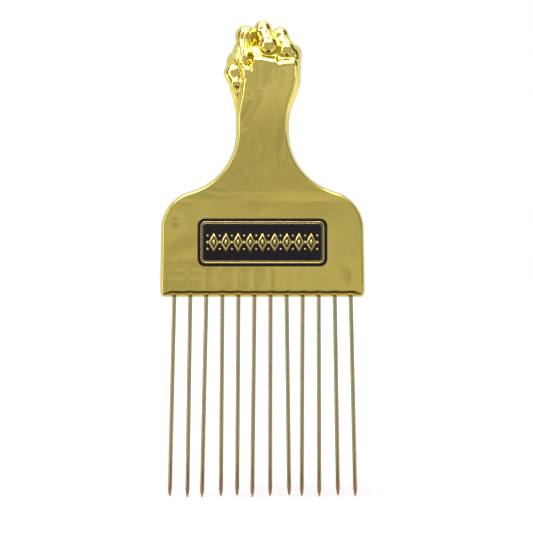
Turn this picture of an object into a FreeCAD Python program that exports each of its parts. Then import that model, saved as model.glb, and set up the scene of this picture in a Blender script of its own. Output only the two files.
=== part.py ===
import FreeCAD, Part
import math
import os

"""An afro pick: twelve round steel tines held in a hollow, gold plated handle.

The handle is a comb plate that narrows to a forearm and ends in a raised right fist, with the back of the
hand to the front. It is moulded as a front and a rear shell. The tine roots lie in half round sockets
between the shells, and each root ends in a flattened head that can't be pulled out.

Millimetres. +X to the right as seen from the front, +Y to the back, +Z up towards the fist. The shells part
on the plane Y = 0. The origin is under the middle of the tine row, level with the lowest tips.
"""

# Comb plate
plate_side_margin = 4.95
plate_side_draft = 0.4
plate_side_height = 23.6
plate_corner_radius = 1.5
shoulder_radius = 13.35
flare_radius = 21.5
plate_depth = 8.0
outer_edge_radius = 1.25

# Forearm and hand
neck_half_width = 9.2
forearm_length = 5.0
hand_height = 33.5
hand_half_depth = 9.0
ramp_start_height = 32.5
ramp_bend_radius = 60.0
finger_radius = 3.0
thumb_radius = 3.1

# Shell walls and what stands inside them
wall = 1.9
rib_wall = 0.4
stop_height = 1.4
pin_radius = 1.2
pin_clearance = 0.05
pin_floor = 1.6
boss_wall = 1.05
overrun = 2.0

# Tines
tine_count = 12
tine_pitch = 5.555
tine_radius = 0.75
tine_reach = 69.3
tine_root_length = 8.6
tine_point_length = 2.2
tine_nose_radius = 0.36
head_width = 2.3
head_thickness = 0.9
head_height = 2.2
socket_clearance = 0.02
head_clearance = 0.08

# How far each tine leans at its tip, in shares of the pitch, and how far it stops short of the longest one,
# in shares of its radius, from left to right
tine_lean_shares = (-0.28, -0.18, -0.27, -0.09, -0.08, -0.13, -0.02, 0.17, -0.05, 0.04, 0.21, 0.29)
tine_short_shares = (0.45, 0.0, 0.05, 0.45, 0.85, 0.1, 0.45, 0.9, 0.5, 0.4, 0.85, 0.5)

# Label
label_width = 44.8
label_height = 16.6
label_corner_radius = 2.6
label_thickness = 0.25
label_recess = 0.2
label_clearance = 0.1
label_centre_height = 18.9

# The hand's width in shares of the neck's, and its middle in shares of its own width
hand_width_share = 1.446
hand_middle_share = 0.008

# The hand's joints. x is in shares of the hand's width from its middle, y of its half depth with the back of
# the hand negative, z of its height above the wrist, and the radius of a finger's or the thumb's.
index_shares = (
    (-0.246, -0.400, 0.590, 0.92),
    (-0.224, -0.020, 0.834, 1.17),
    (-0.233, 0.500, 0.591, 0.97),
    (-0.226, 0.333, 0.451, 0.87),
)
middle_shares = (
    (0.071, -0.540, 0.722, 1.20),
    (-0.004, -0.130, 0.905, 0.98),
    (-0.004, 0.520, 0.624, 0.98),
    (0.000, 0.356, 0.463, 0.87),
)
ring_shares = (
    (0.308, -0.500, 0.680, 1.04),
    (0.222, -0.160, 0.838, 0.93),
    (0.222, 0.500, 0.588, 0.93),
    (0.214, 0.333, 0.439, 0.83),
)
little_shares = (
    (0.355, -0.400, 0.635, 1.04),
    (0.380, 0.133, 0.655, 1.06),
    (0.380, 0.467, 0.516, 0.90),
    (0.353, 0.311, 0.397, 0.80),
)
thumb_shares = (
    (-0.262, -0.089, 0.130, 0.88),
    (-0.388, -0.089, 0.450, 0.92),
    (-0.352, 0.500, 0.575, 0.90),
    (0.020, 0.680, 0.545, 0.92),
)
thumb_base_shares = ((-0.358, -0.300, 0.340, 0.64), (-0.362, -0.190, 0.445, 0.78))

# The flesh behind the thumb and between the knuckles, and the pads of the thumb and palm, in the same shares
thumb_web_shares = ((-0.345, 0.350, 0.580, 0.88), (-0.285, 0.250, 0.715, 0.82))
knuckle_web_shares = ((-0.100, -0.300, 0.650, 1.00), (0.360, -0.300, 0.620, 1.00))
thumb_pad_shares = ((-0.150, 0.120, 0.000, 1.15), (-0.262, 0.420, 0.352, 1.45))
palm_pad_shares = ((0.170, 0.120, 0.020, 1.15), (0.300, 0.360, 0.400, 1.45))

# Each bone of a finger starts a little slimmer than the one before it ends
bone_start_share = 0.96
inner_bone_share = 0.9

# The furrow between the knuckles of the index and middle fingers, in the same shares as the joints
furrow_shares = ((-0.160, -0.780, 0.600, 0.40), (-0.151, -0.920, 0.430, 0.05))

# The block of the hand, behind and between the fingers, as seen from the front. The steps out from the neck
# are in shares of the neck's half width, the wrist's bends of the forearm's length above the flare, the other
# heights of the hand's, and radii of a finger's.
little_bulge_shares = (0.446, 0.427)
little_corner_shares = (0.467, 0.630, 1.13)
thumb_corner_shares = (0.170, 0.624, 1.13)
thumb_hollow_shares = (-0.130, 0.382)
wrist_bend_shares = (0.5, 1.15)

# The same block as seen from the side, from the palm over the top: how far it reaches in shares of the hand's
# half depth, heights in shares of the hand's, and radii of a finger's
palm_shares = ((0.690, 0.250, 2.70), (0.560, 0.606, 1.00), (0.360, 0.633, 0.83))
knuckle_ridge_shares = (0.911, 0.528, 0.90)

# How nearly a bend fills the room for it, and how much of a corner's radius its rounded edge takes
bend_room_share = 0.97
hollow_room_share = 0.8
shoulder_gap_share = 1.002
edge_radius_share = 0.85

# Least turn between two faces whose edge is rounded, in radians
sharp_turn = 0.3

# Places of the locating pins: x in shares of the plate's half width, z in shares of the whole handle's height
pin_place_shares = ((-0.79, 0.20), (0.79, 0.20), (0.0, 0.42), (0.0, 0.77))

Vector = FreeCAD.Vector
foot_z = tine_reach
half_depth = plate_depth / 2
plate_half_width = (tine_count - 1) / 2 * tine_pitch + plate_side_margin
shoulder_z = foot_z + plate_side_height
shoulder_x = plate_half_width - plate_side_draft - shoulder_radius
flare_x = neck_half_width + flare_radius
flare_z = shoulder_z + math.sqrt(
    (shoulder_gap_share * (shoulder_radius + flare_radius)) ** 2 - (flare_x - shoulder_x) ** 2
)
wrist_z = flare_z + forearm_length
handle_height = wrist_z + hand_height - foot_z
hand_width = hand_width_share * 2 * neck_half_width
hand_middle = hand_middle_share * hand_width
socket_radius = tine_radius + socket_clearance
boss_radius = pin_radius + pin_clearance + boss_wall
pin_length = half_depth - pin_floor


def belt(circles, place):
    """Closed wire round a chain of circles, counterclockwise, with straight runs tangent to both neighbours.
    A circle is (across, up, radius), and one with a negative radius bends the wire inwards."""
    headings = []
    for here, there in zip(circles, circles[1:] + circles[:1]):
        across, up = there[0] - here[0], there[1] - here[1]
        swing = math.asin((here[2] - there[2]) / math.hypot(across, up))
        headings.append(math.atan2(up, across) + swing)
    edges = []
    for index, (across, up, radius) in enumerate(circles):
        begin, end = headings[index - 1], headings[index]
        middle = begin + math.remainder(end - begin, math.tau) / 2
        points = []
        for angle in (begin, middle, end):
            points.append(place(across + radius * math.sin(angle), up - radius * math.cos(angle)))
        start, halfway, finish = points
        if edges:
            edges.append(Part.LineSegment(last, start).toShape())
        else:
            first = start
        edges.append(Part.Arc(start, halfway, finish).toShape())
        last = finish
    edges.append(Part.LineSegment(last, first).toShape())
    return Part.Wire(edges)


def turned(outline):
    """Solid turned round the Z axis from a closed half outline."""
    edges = Part.Wire([curve.toShape() for curve in outline])
    return Part.Face(edges).revolve(Vector(), Vector(0, 0, 1), 360)


def limb(start, end):
    """Two balls and the cone that is tangent to both. Each end is (centre, radius)."""
    (foot, foot_radius), (head, head_radius) = start, end
    axis = head - foot
    length = axis.Length
    slope = math.asin((foot_radius - head_radius) / length)
    across, along = math.cos(slope), math.sin(slope)
    low_turn, high_turn = (slope - math.pi / 2) / 2, (slope + math.pi / 2) / 2
    low = Vector(0, 0, -foot_radius)
    low_side = Vector(foot_radius * math.cos(low_turn), 0, foot_radius * math.sin(low_turn))
    low_end = Vector(foot_radius * across, 0, foot_radius * along)
    high_end = Vector(head_radius * across, 0, length + head_radius * along)
    high_side = Vector(head_radius * math.cos(high_turn), 0, length + head_radius * math.sin(high_turn))
    high = Vector(0, 0, length + head_radius)
    outline = [
        Part.Arc(low, low_side, low_end),
        Part.LineSegment(low_end, high_end),
        Part.Arc(high_end, high_side, high),
        Part.LineSegment(high, low),
    ]
    shape = turned(outline)
    shape.Placement = FreeCAD.Placement(foot, FreeCAD.Rotation(Vector(0, 0, 1), axis))
    return shape


def block(width, depth, height, foot):
    """A box that stands with the middle of its foot at a point."""
    return Part.makeBox(width, depth, height, foot - Vector(width / 2, depth / 2, 0))


def sharp_edges(solid):
    """Edges along which the surface turns sharply."""
    found = []
    for edge in solid.Edges:
        faces = solid.ancestorsOfType(edge, Part.Face)
        middle = edge.valueAt((edge.FirstParameter + edge.LastParameter) / 2)
        normals = [face.normalAt(*face.Surface.parameter(middle)) for face in faces]
        if len(normals) == 2 and normals[0].getAngle(normals[1]) > sharp_turn:
            found.append(edge)
    return found


def hand_z(share):
    return wrist_z + share * hand_height


def hand_ball(shares, radius):
    """A joint of the hand, as its centre and its radius."""
    x, y, z, size = shares
    return Vector(hand_middle + x * hand_width, y * hand_half_depth, hand_z(z)), size * radius


def bend_room(across, up):
    """The radii of two bends, added up, that just meet when an outline steps across over a rise."""
    return (across ** 2 + up ** 2) / (2 * abs(across))


def little_side():
    """The wrist's bend, the bulge and the upper corner on the little finger's side."""
    step, bulge = little_bulge_shares
    wrist = flare_z + wrist_bend_shares[0] * forearm_length
    across = step * neck_half_width
    radius = bend_room_share * bend_room(across, hand_z(bulge) - wrist) / 2
    corner_step, corner, corner_share = little_corner_shares
    corner_radius = corner_share * finger_radius
    return [
        (neck_half_width + radius, wrist, -radius),
        (neck_half_width + across - radius, hand_z(bulge), radius),
        ((1 + corner_step) * neck_half_width - corner_radius, hand_z(corner), corner_radius),
    ]


def thumb_side():
    """The upper corner, the hollow that sets the thumb apart, and the wrist's bend on the thumb's side."""
    corner_step, corner, corner_share = thumb_corner_shares
    corner_radius = corner_share * finger_radius
    hollow_step, hollow = thumb_hollow_shares
    wrist = flare_z + wrist_bend_shares[1] * forearm_length
    room = bend_room((corner_step - hollow_step) * neck_half_width, hand_z(corner) - hand_z(hollow))
    radius = hollow_room_share * (room - corner_radius)
    return [
        (corner_radius - (1 + corner_step) * neck_half_width, hand_z(corner), corner_radius),
        (-radius - (1 + hollow_step) * neck_half_width, hand_z(hollow), -radius),
        (radius - neck_half_width, wrist, radius),
    ]


def handle_outline():
    """The handle without its fingers, as seen from the front."""
    right = [
        (plate_half_width - plate_corner_radius, foot_z + plate_corner_radius, plate_corner_radius),
        (shoulder_x, shoulder_z, shoulder_radius),
        (flare_x, flare_z, -flare_radius),
    ]
    left = [(-x, z, radius) for x, z, radius in reversed(right)]
    return belt(right + little_side() + thumb_side() + left, lambda x, z: Vector(x, 0, z))


def handle_profile():
    """The handle without its fingers, as seen from the side, with its foot run on downwards."""
    ramp_y = half_depth + ramp_bend_radius
    ramp_z = foot_z + ramp_start_height
    toe_y = half_depth - outer_edge_radius
    toe_z = foot_z - plate_depth
    circles = [(toe_y, toe_z, outer_edge_radius), (ramp_y, ramp_z, -ramp_bend_radius)]
    for reach, height, share in palm_shares:
        radius = share * finger_radius
        circles.append((reach * hand_half_depth - radius, hand_z(height), radius))
    reach, height, share = knuckle_ridge_shares
    radius = share * finger_radius
    circles += [
        (radius - reach * hand_half_depth, hand_z(height), radius),
        (-ramp_y, ramp_z, -ramp_bend_radius),
        (-toe_y, toe_z, outer_edge_radius),
    ]
    return belt(circles, lambda y, z: Vector(0, y, z))


def crossed_prisms(outline, profile):
    """What is left when one outline is run through from front to back and the other from side to side."""
    deep = 2 * (hand_half_depth + overrun)
    wide = 2 * (plate_half_width + overrun)
    through = Part.Face(outline).extrude(Vector(0, deep, 0))
    through.translate(Vector(0, -deep / 2, 0))
    across = Part.Face(profile).extrude(Vector(wide, 0, 0))
    across.translate(Vector(-wide / 2, 0, 0))
    return through.common(across)


def bones(joints, radius):
    """Limbs from joint to joint."""
    limbs = []
    share = 1
    for here, there in zip(joints, joints[1:]):
        limbs.append(limb(hand_ball(here, share * radius), hand_ball(there, radius)))
        share = bone_start_share
    return limbs


def fingers():
    """Three bones to a finger, and the flesh that fills its bend."""
    limbs = []
    for joints in (index_shares, middle_shares, ring_shares, little_shares):
        limbs += bones(joints, finger_radius)
        slim = inner_bone_share * finger_radius
        limbs.append(limb(hand_ball(joints[0], slim), hand_ball(joints[2], slim)))
    return limbs


def thumb():
    """The thumb's bones, and its base that stands out beside the back of the hand."""
    return bones(thumb_shares, thumb_radius) + bones(thumb_base_shares, thumb_radius)


def pads():
    """The pads of the thumb and the palm, and the flesh behind the thumb and between the knuckles."""
    limbs = bones(thumb_web_shares, thumb_radius)
    for joints in (thumb_pad_shares, palm_pad_shares, knuckle_web_shares):
        limbs += bones(joints, finger_radius)
    return limbs


def handle_body():
    """The whole handle as one solid, before it is hollowed and parted."""
    plate = crossed_prisms(handle_outline(), handle_profile())
    edge_radius = min(outer_edge_radius, edge_radius_share * plate_corner_radius)
    plate = plate.makeFillet(edge_radius, sharp_edges(plate))
    body = plate.multiFuse(fingers() + thumb() + pads())
    furrow = bones(furrow_shares, finger_radius)[0]
    return body.cut(furrow)


def tine_x(index):
    return (index - (tine_count - 1) / 2) * tine_pitch


def tine_lean(index):
    """The tine's slope, as its sideways run over its free length."""
    return tine_lean_shares[index % len(tine_lean_shares)] * tine_pitch / tine_reach


def leaned(shape, index):
    """A shape made round the Z axis, set at the tine's place in the foot and turned to its lean."""
    angle = math.degrees(math.atan(tine_lean(index)))
    turn = FreeCAD.Rotation(Vector(0, 1, 0), -angle)
    shape.Placement = FreeCAD.Placement(Vector(tine_x(index), 0, foot_z), turn)
    return shape


def tine(index):
    """A wire with a tapered point and, at its root, a flattened head."""
    tip = tine_short_shares[index % len(tine_short_shares)] * tine_radius - tine_reach
    neck = tine_root_length - head_height
    nose = tine_nose_radius
    slant = nose * math.sqrt(0.5)
    point = Vector(0, 0, tip)
    nose_side = Vector(slant, 0, tip + nose - slant)
    nose_end = Vector(nose, 0, tip + nose)
    shoulder = Vector(tine_radius, 0, tip + tine_point_length)
    side = Vector(tine_radius, 0, neck)
    top = Vector(0, 0, neck)
    wire = turned([
        Part.Arc(point, nose_side, nose_end),
        Part.LineSegment(nose_end, shoulder),
        Part.LineSegment(shoulder, side),
        Part.LineSegment(side, top),
        Part.LineSegment(top, point),
    ])
    head = block(head_width, head_thickness, head_height, top)
    return leaned(wire.fuse(head), index)


def socket(index):
    """The room for a tine's root and head between the shells."""
    room = 2 * head_clearance
    neck = tine_root_length - head_height
    bore = Part.makeCylinder(socket_radius, neck + overrun, Vector(0, 0, -overrun))
    seat = Vector(0, 0, neck - head_clearance)
    pocket = block(head_width + room, head_thickness + room, head_height + room, seat)
    return leaned(bore.fuse(pocket), index)


def rib(index):
    """The block of plastic that holds one tine's root."""
    height = tine_root_length + stop_height
    width = head_width + 2 * (head_clearance + rib_wall)
    foot = Vector(tine_x(index) - tine_lean(index) * height / 2, 0, foot_z)
    return block(width, plate_depth, height, foot)


def pin_places():
    return [Vector(x * plate_half_width, 0, foot_z + z * handle_height) for x, z in pin_place_shares]


def post(place, radius, near, far):
    """A round bar along Y."""
    return Part.makeCylinder(radius, far - near, place + Vector(0, near, 0), Vector(0, 1, 0))


def cavity():
    """The space inside the shells, round the tines' ribs and the pins' bosses."""
    space = crossed_prisms(handle_outline().makeOffset2D(-wall), handle_profile().makeOffset2D(-wall))
    ribs = [rib(index) for index in range(tine_count)]
    bosses = [post(place, boss_radius, -hand_half_depth, hand_half_depth) for place in pin_places()]
    return space.cut(ribs + bosses)


def rounded_slab(grow, near, far):
    """The label's outline, grown on all sides, between two depths."""
    radius = label_corner_radius + grow
    side, rise = label_width / 2 - label_corner_radius, label_height / 2 - label_corner_radius
    z = foot_z + label_centre_height
    corners = [(side, -rise), (side, rise), (-side, rise), (-side, -rise)]
    outline = belt([(x, z + up, radius) for x, up in corners], lambda x, up: Vector(x, near, up))
    return Part.Face(outline).extrude(Vector(0, far - near, 0))


def label():
    back = label_recess - half_depth
    return rounded_slab(0, back - label_thickness, back)


def label_seat():
    return rounded_slab(label_clearance, -half_depth - overrun, label_recess - half_depth)


def shells():
    """The front shell with its pins, and the rear shell with the holes that they enter."""
    hollow = handle_body().cut(cavity()).cut([socket(index) for index in range(tine_count)])
    wide = 2 * (plate_half_width + overrun)
    deep = hand_half_depth + overrun
    front_room = block(wide, deep, handle_height + 2 * overrun, Vector(0, -deep / 2, foot_z - overrun))
    rear_room = front_room.translated(Vector(0, deep, 0))
    pins = [post(place, pin_radius, -wall, pin_length) for place in pin_places()]
    hole_radius, hole_length = pin_radius + pin_clearance, pin_length + pin_clearance
    holes = [post(place, hole_radius, -overrun, hole_length) for place in pin_places()]
    front = hollow.common(front_room).cut(label_seat()).multiFuse(pins)
    return front, hollow.common(rear_room).cut(holes)


def save(shape, name):
    """Write one sub-part, as a bare solid where it is only one."""
    if len(shape.Solids) == 1:
        shape = shape.Solids[0]
    shape.exportStep("parts/" + name + ".step")


os.makedirs("parts", exist_ok=True)
front_shell, rear_shell = shells()
save(front_shell, "front_shell")
save(rear_shell, "rear_shell")
save(label(), "front_label")
for index in range(tine_count):
    save(tine(index), "tine_%02d" % (index + 1))
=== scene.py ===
"""An afro pick: twelve steel tines in a hollow, gold plated handle that ends in a raised fist.

Each surface is worked out on a grid. The handle's two skins are found by going in from outside,
along straight lines that start square to a smooth inner frame, until the body's surface is met.
The body is written as a gap: the distance from a point to the surface, less than zero inside.
Shapes are in millimetres and the meshes in metres. X is to the right, Y to the back and Z up. The
origin is under the middle of the tine row, level with the lowest tip.
"""

import math

import bpy
import numpy as np
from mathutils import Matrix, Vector


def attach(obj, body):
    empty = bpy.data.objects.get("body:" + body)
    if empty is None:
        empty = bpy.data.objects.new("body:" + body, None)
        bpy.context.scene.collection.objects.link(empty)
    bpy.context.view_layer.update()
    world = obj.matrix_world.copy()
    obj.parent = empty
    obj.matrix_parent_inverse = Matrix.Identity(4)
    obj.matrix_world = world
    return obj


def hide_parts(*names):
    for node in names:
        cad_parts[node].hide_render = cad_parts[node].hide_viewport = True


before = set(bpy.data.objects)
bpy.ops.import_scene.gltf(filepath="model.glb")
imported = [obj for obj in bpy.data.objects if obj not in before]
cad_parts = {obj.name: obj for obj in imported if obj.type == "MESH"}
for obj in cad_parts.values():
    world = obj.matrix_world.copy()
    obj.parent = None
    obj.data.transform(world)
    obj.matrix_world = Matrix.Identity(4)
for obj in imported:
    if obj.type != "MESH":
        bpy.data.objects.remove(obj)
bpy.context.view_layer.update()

MM = 0.001

# Comb plate
plate_side_margin = 4.95
plate_side_draft = 0.4
plate_side_height = 23.6
plate_corner_radius = 1.5
shoulder_radius = 13.35
flare_radius = 21.5
plate_depth = 8.0
outer_edge_radius = 1.25
plate_edge_round = 0.75
foot_edge_round = 1.9
wall_draft = 0.17

# Forearm and hand
neck_half_width = 9.2
forearm_length = 5.0
hand_height = 33.5
hand_half_depth = 9.0
ramp_start_height = 32.5
ramp_bend_radius = 60.0
finger_radius = 3.0
thumb_radius = 3.1
hand_edge_round = 1.9
hand_frame_depth = 1.3

# Tines
tine_count = 12
tine_pitch = 5.555
tine_radius = 0.75
tine_reach = 69.3
tine_root_length = 8.6
tine_nose_radius = 0.3
head_width = 2.3
head_thickness = 0.9
head_height = 2.2

# How far each tine leans at its tip, in shares of the pitch, and how far it stops short of the
# longest one, in shares of its radius
tine_lean_shares = (-0.28, -0.18, -0.27, -0.09, -0.08, -0.13, -0.02, 0.17, -0.05, 0.04, 0.21, 0.29)
tine_short_shares = (0.45, 0.0, 0.05, 0.45, 0.85, 0.1, 0.45, 0.9, 0.5, 0.4, 0.85, 0.5)

# The tine's taper, its slow swell above that, and the change from the wire to the flat head
taper_length = 3.4
taper_width_share = 0.92
taper_power = 1.7
swell_width_share = 0.08
swell_rises = (3.0, 40.0)
head_change_rise = 0.6
head_squareness = 0.55

# Label
label_width = 44.8
label_height = 16.6
label_corner_radius = 2.6
label_thickness = 0.25
label_recess = 0.2
label_centre_height = 18.9
label_edge_round = 0.08

# The label's print: inset and width of each frame line, half width and half height of a lozenge's
# outside, inside and core, and height and radius of each dot between two lozenges
print_thickness = 0.015
frame_lines = ((1.1, 0.32), (1.75, 0.14))
frame_corner_share = 0.8
lozenge_count = 9
lozenge_pitch = 4.2
lozenge_halves = ((1.75, 3.3), (1.15, 2.17), (0.62, 1.17))
dot_plans = ((-2.3, 0.36), (0, 0.5), (2.3, 0.36))
dot_sides = 16

# The hand's width in shares of the neck's, and its middle in shares of its own width
hand_width_share = 1.446
hand_middle_share = 0.008

# The hand's joints: x in shares of the hand's width from its middle, y of its half depth with the
# back of the hand negative, z of its height above the wrist, and the radius of a finger's or the
# thumb's
index_shares = (
    (-0.246, -0.400, 0.590, 0.92),
    (-0.224, -0.020, 0.834, 1.17),
    (-0.233, 0.500, 0.591, 0.97),
    (-0.226, 0.333, 0.451, 0.87),
)
middle_shares = (
    (0.071, -0.537, 0.722, 1.20),
    (-0.004, -0.130, 0.900, 0.98),
    (-0.004, 0.520, 0.624, 0.98),
    (0.000, 0.356, 0.463, 0.87),
)
ring_shares = (
    (0.308, -0.500, 0.680, 1.04),
    (0.222, -0.160, 0.838, 0.93),
    (0.222, 0.500, 0.588, 0.93),
    (0.214, 0.333, 0.439, 0.83),
)
little_shares = (
    (0.355, -0.400, 0.635, 1.04),
    (0.380, 0.133, 0.655, 1.06),
    (0.380, 0.467, 0.516, 0.90),
    (0.353, 0.311, 0.397, 0.80),
)
thumb_shares = (
    (-0.262, -0.089, 0.130, 0.88),
    (-0.388, -0.089, 0.450, 0.92),
    (-0.352, 0.500, 0.575, 0.90),
    (0.020, 0.679, 0.545, 0.92),
)
thumb_base_shares = ((-0.358, -0.400, 0.340, 0.66), (-0.364, -0.200, 0.445, 0.74))
thumb_web_shares = ((-0.345, 0.350, 0.580, 0.88), (-0.285, 0.250, 0.715, 0.82))
knuckle_web_shares = ((-0.100, -0.300, 0.650, 1.00), (0.360, -0.300, 0.620, 1.00))
thumb_pad_shares = ((-0.150, 0.120, 0.000, 1.15), (-0.262, 0.420, 0.352, 1.45))
palm_pad_shares = ((0.170, 0.120, 0.020, 1.15), (0.300, 0.360, 0.400, 1.45))
furrow_shares = ((-0.162, -0.600, 0.597, 0.42), (-0.151, -0.965, 0.440, 0.05))

# Each finger's joints and the waist of its first bone, in shares of its radius
finger_plans = (
    (index_shares, 0.93),
    (middle_shares, 0.88),
    (ring_shares, 0.9),
    (little_shares, 0.95),
)
knuckle_drawn_share = 0.1
ball_length = 0.1
bone_start_share = 0.96
inner_bone_share = 0.9

# How softly each kind of limb joins the palm, and the furrow is cut
pad_blend = 2.0
thumb_blend = 2.0
finger_blend = 0.55
thumb_base_blend = 1.5
furrow_blend = 0.3

# The block of the hand, as seen from the front and from the side
little_bulge_shares = (0.446, 0.427)
little_corner_shares = (0.467, 0.630, 1.13)
thumb_corner_shares = (0.170, 0.624, 1.13)
thumb_hollow_shares = (-0.130, 0.382)
wrist_bend_shares = (0.5, 1.15)
palm_shares = ((0.690, 0.250, 2.70), (0.560, 0.606, 1.00), (0.360, 0.633, 0.83))
knuckle_ridge_shares = (0.911, 0.528, 0.90)
bend_room_share = 0.97
hollow_room_share = 0.8
shoulder_gap_share = 1.002

# Where the rounding of the edges changes: up to this share of the hand's height, and along the
# foot over these distances in from the plate's sides and up from its foot
hand_round_share = 0.3
foot_round_insets = (0.5, 4.0)
foot_round_rises = (5.0, 2.0)

# How far the back of the hand's top edge rises above its level, from the index finger's side to
# the little one's, and over which shares of the hand's height and which depths this sets in
ridge_places = (-14.0, -10.2, -5.3, -4.2, -2.6, -0.5, 4.2, 5.8, 8.5, 14.0)
ridge_rises = (1.5, 1.9, -2.7, -2.7, 0.9, 0.7, 0.0, -0.9, -0.5, -0.3)
ridge_height_shares = (0.25, 0.5)
ridge_depths = (1.0, -5.0)

# Relief is full on the faces, and fades out over these distances in from them
face_fade = (1.2, 0.4)

# Troughs over the tines' ribs, weaker towards the right, and deeper at the foot itself
trough_half_width = 1.15
trough_depth = 0.045
trough_rises = (11.5, 8.5)
trough_least_share = 0.35
trough_places = (20.0, -25.0)
foot_trough_depth = 0.12
foot_trough_change = 0.1
foot_trough_turn = 1.9
foot_trough_start = 2
foot_trough_rises = (2.8, 0.9)

# Dents at random places, deeper in the plate's lower left
dent_seed = 11
dent_count = 90
dent_half_widths = (1.6, 6.0)
dent_stretches = (0.5, 1.6)
dent_depth = 0.016
rough_place = -12
rough_rise = 26
rough_depth_share = 2.2

# Single sinks: x, z, half width, half height and depth
plain_sinks = (
    (-29.9, 95.4, 1.7, 1.5, 0.045),
    (-7.2, 111.0, 2.3, 2.3, 0.06),
    (-27.5, 79.6, 5.5, 1.0, 0.045),
    (-26.0, 76.6, 6.5, 0.9, 0.04),
    (-2.0, 121.5, 1.6, 4.5, 0.06),
    (6.6, 122.0, 1.2, 7.0, 0.09),
)

# Soft grooves beside the tendons of the hand: x and z of both ends, half width and depth
tendon_grooves = (
    (-8.4, 151.0, -3.4, 137.0, 0.9, 0.12),
    (-3.0, 151.0, -3.4, 137.0, 0.8, 0.1),
    (-0.6, 140.8, -8.2, 126.4, 1.5, 0.11),
)

# Low tendons that fan out up the back of the hand, and the shares of its height between which
# they start and end
tendon_depth = 0.013
tendon_pitch = 11
tendon_turn = 0.8
tendon_fan_shares = (0.55, 0.5)
tendon_start_shares = (-0.25, 0.15)
tendon_end_shares = (0.62, 0.45)

# Wavy flutes down the index finger, and the places, heights and depths over which they fade
flute_depth = 0.2
flute_pitch = 1.75
flute_place = -6.3
flute_sway = 0.35
flute_sway_length = 1.9
flute_fades = ((-9.2, -8.0), (-2.6, -3.6)), ((149.5, 151.5), (162, 159.5)), ((-0.5, -2.5),)

# The inner frame: a round core in the fist, the share of the hand's height from which on the
# frame is as deep as it is in the hand, the rows of each run from the middle of the foot to the
# top, and the heights above the foot at which the lower runs cross the middle
core_share = 0.56
core_radius = 7.5
hand_frame_share = 0.25
frame_rows = (26, 12, 20, 30, 3, 60, 120, 100)
frame_middle_rises = (14, 17, 29, 41, 41.5)
least_rows = 3

# How the frame's rows leave its rim and how level they cross the middle
leave_share = 1.1
leave_start = 7
leave_growth = 0.25
level_share = 1.2
foot_tilt_power = 1.5

# A skin's columns down its side wall, round its edge and across its face
skin_columns = (8, 34, 140)
wall_column_power = 1.5

# A tine's rows round its nose, up its taper, up the wire and up its root
tine_rows = (6, 14, 40, 10)
tine_sides = 32

# The points round a quarter of an oblong's outline, and the rows round the label's front edge
quarter_points = 12
label_edge_rows = 5

# How far outside the frame the search for the surface starts, and how it closes in
plate_room = 0.8
hand_room = 11
closing_share = 0.7
closing_rounds = 70
closed_gap = 2e-4
least_reach = 0.02
slope_step = 0.03

foot_z = tine_reach
half_depth = plate_depth / 2
plate_half_width = (tine_count - 1) / 2 * tine_pitch + plate_side_margin
shoulder_z = foot_z + plate_side_height
shoulder_x = plate_half_width - plate_side_draft - shoulder_radius
flare_x = neck_half_width + flare_radius
flare_z = shoulder_z + math.sqrt(
    (shoulder_gap_share * (shoulder_radius + flare_radius)) ** 2 - (flare_x - shoulder_x) ** 2
)
wrist_z = flare_z + forearm_length
hand_width = hand_width_share * 2 * neck_half_width
hand_middle = hand_middle_share * hand_width
limb_floor_z = wrist_z - 3 * finger_radius
label_z = foot_z + label_centre_height
label_back = label_recess - half_depth
label_front = label_back - label_thickness


def ease(low, high, value):
    """Rises smoothly from nought at low to one at high: 3 s squared less 2 s cubed."""
    share = np.clip((value - low) / (high - low), 0, 1)
    return share * share * (3 - 2 * share)


def hand_z(share):
    """The height above the wrist of a share of the hand's height, as a Z."""
    return wrist_z + share * hand_height


def bend_room(across, up):
    """The radii of two bends, added up, that just meet when an outline steps across over a rise."""
    return (across ** 2 + up ** 2) / (2 * abs(across))


def belt(circles):
    """Arcs and straight runs of a closed line round a chain of circles, counterclockwise. A circle
    is (across, up, radius), and one with a negative radius bends the line inwards. The line's
    heading between two circles is the bearing of one from the other, turned by the arcsine of the
    radii's difference over their distance."""
    ring = np.array(circles, float)
    step = np.roll(ring, -1, 0) - ring
    bearing = np.arctan2(step[:, 1], step[:, 0])
    heading = bearing - np.arcsin(step[:, 2] / np.hypot(step[:, 0], step[:, 1]))
    begin = np.roll(heading, 1)
    turn = np.remainder(heading - begin + math.pi, math.tau) - math.pi
    return ring, begin, turn


def outward(heading):
    """The direction a quarter turn clockwise from a heading."""
    return np.stack([np.sin(heading), -np.cos(heading)], -1)


def belt_point(ring, heading):
    """The point of a circle at which the belt runs along a heading."""
    return ring[..., :2] + ring[..., 2:3] * outward(heading)


def belt_gap(line, across, up):
    """Signed distance to a belt. To an arc it is the distance from its centre less its radius, and
    to a straight run the distance along its outward normal, each only where the foot of the
    perpendicular lies on it."""
    slack = 1e-6
    ring, begin, turn = line
    x, z = across[:, None], up[:, None]
    side = np.sign(ring[:, 2])
    reach_x, reach_z = (x - ring[:, 0]) * side, (z - ring[:, 1]) * side
    arc = side * np.hypot(reach_x, reach_z) - ring[:, 2]
    off = np.arctan2(reach_x, -reach_z) - begin - turn / 2
    off = np.abs(np.remainder(off + math.pi, math.tau) - math.pi)
    arc = np.where(off <= np.abs(turn) / 2 + slack, arc, np.inf)
    end = begin + turn
    start, stop = belt_point(ring, end), belt_point(np.roll(ring, -1, 0), end)
    run = np.hypot(*(stop - start).T)
    over_x, over_z = x - start[:, 0], z - start[:, 1]
    along = over_x * np.cos(end) + over_z * np.sin(end)
    away = over_x * np.sin(end) - over_z * np.cos(end)
    straight = np.where((along > -slack) & (along < run + slack), away, np.inf)
    gaps = np.concatenate([arc, straight], 1)
    nearest = np.abs(gaps).argmin(1)
    return gaps[np.arange(len(gaps)), nearest]


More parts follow.
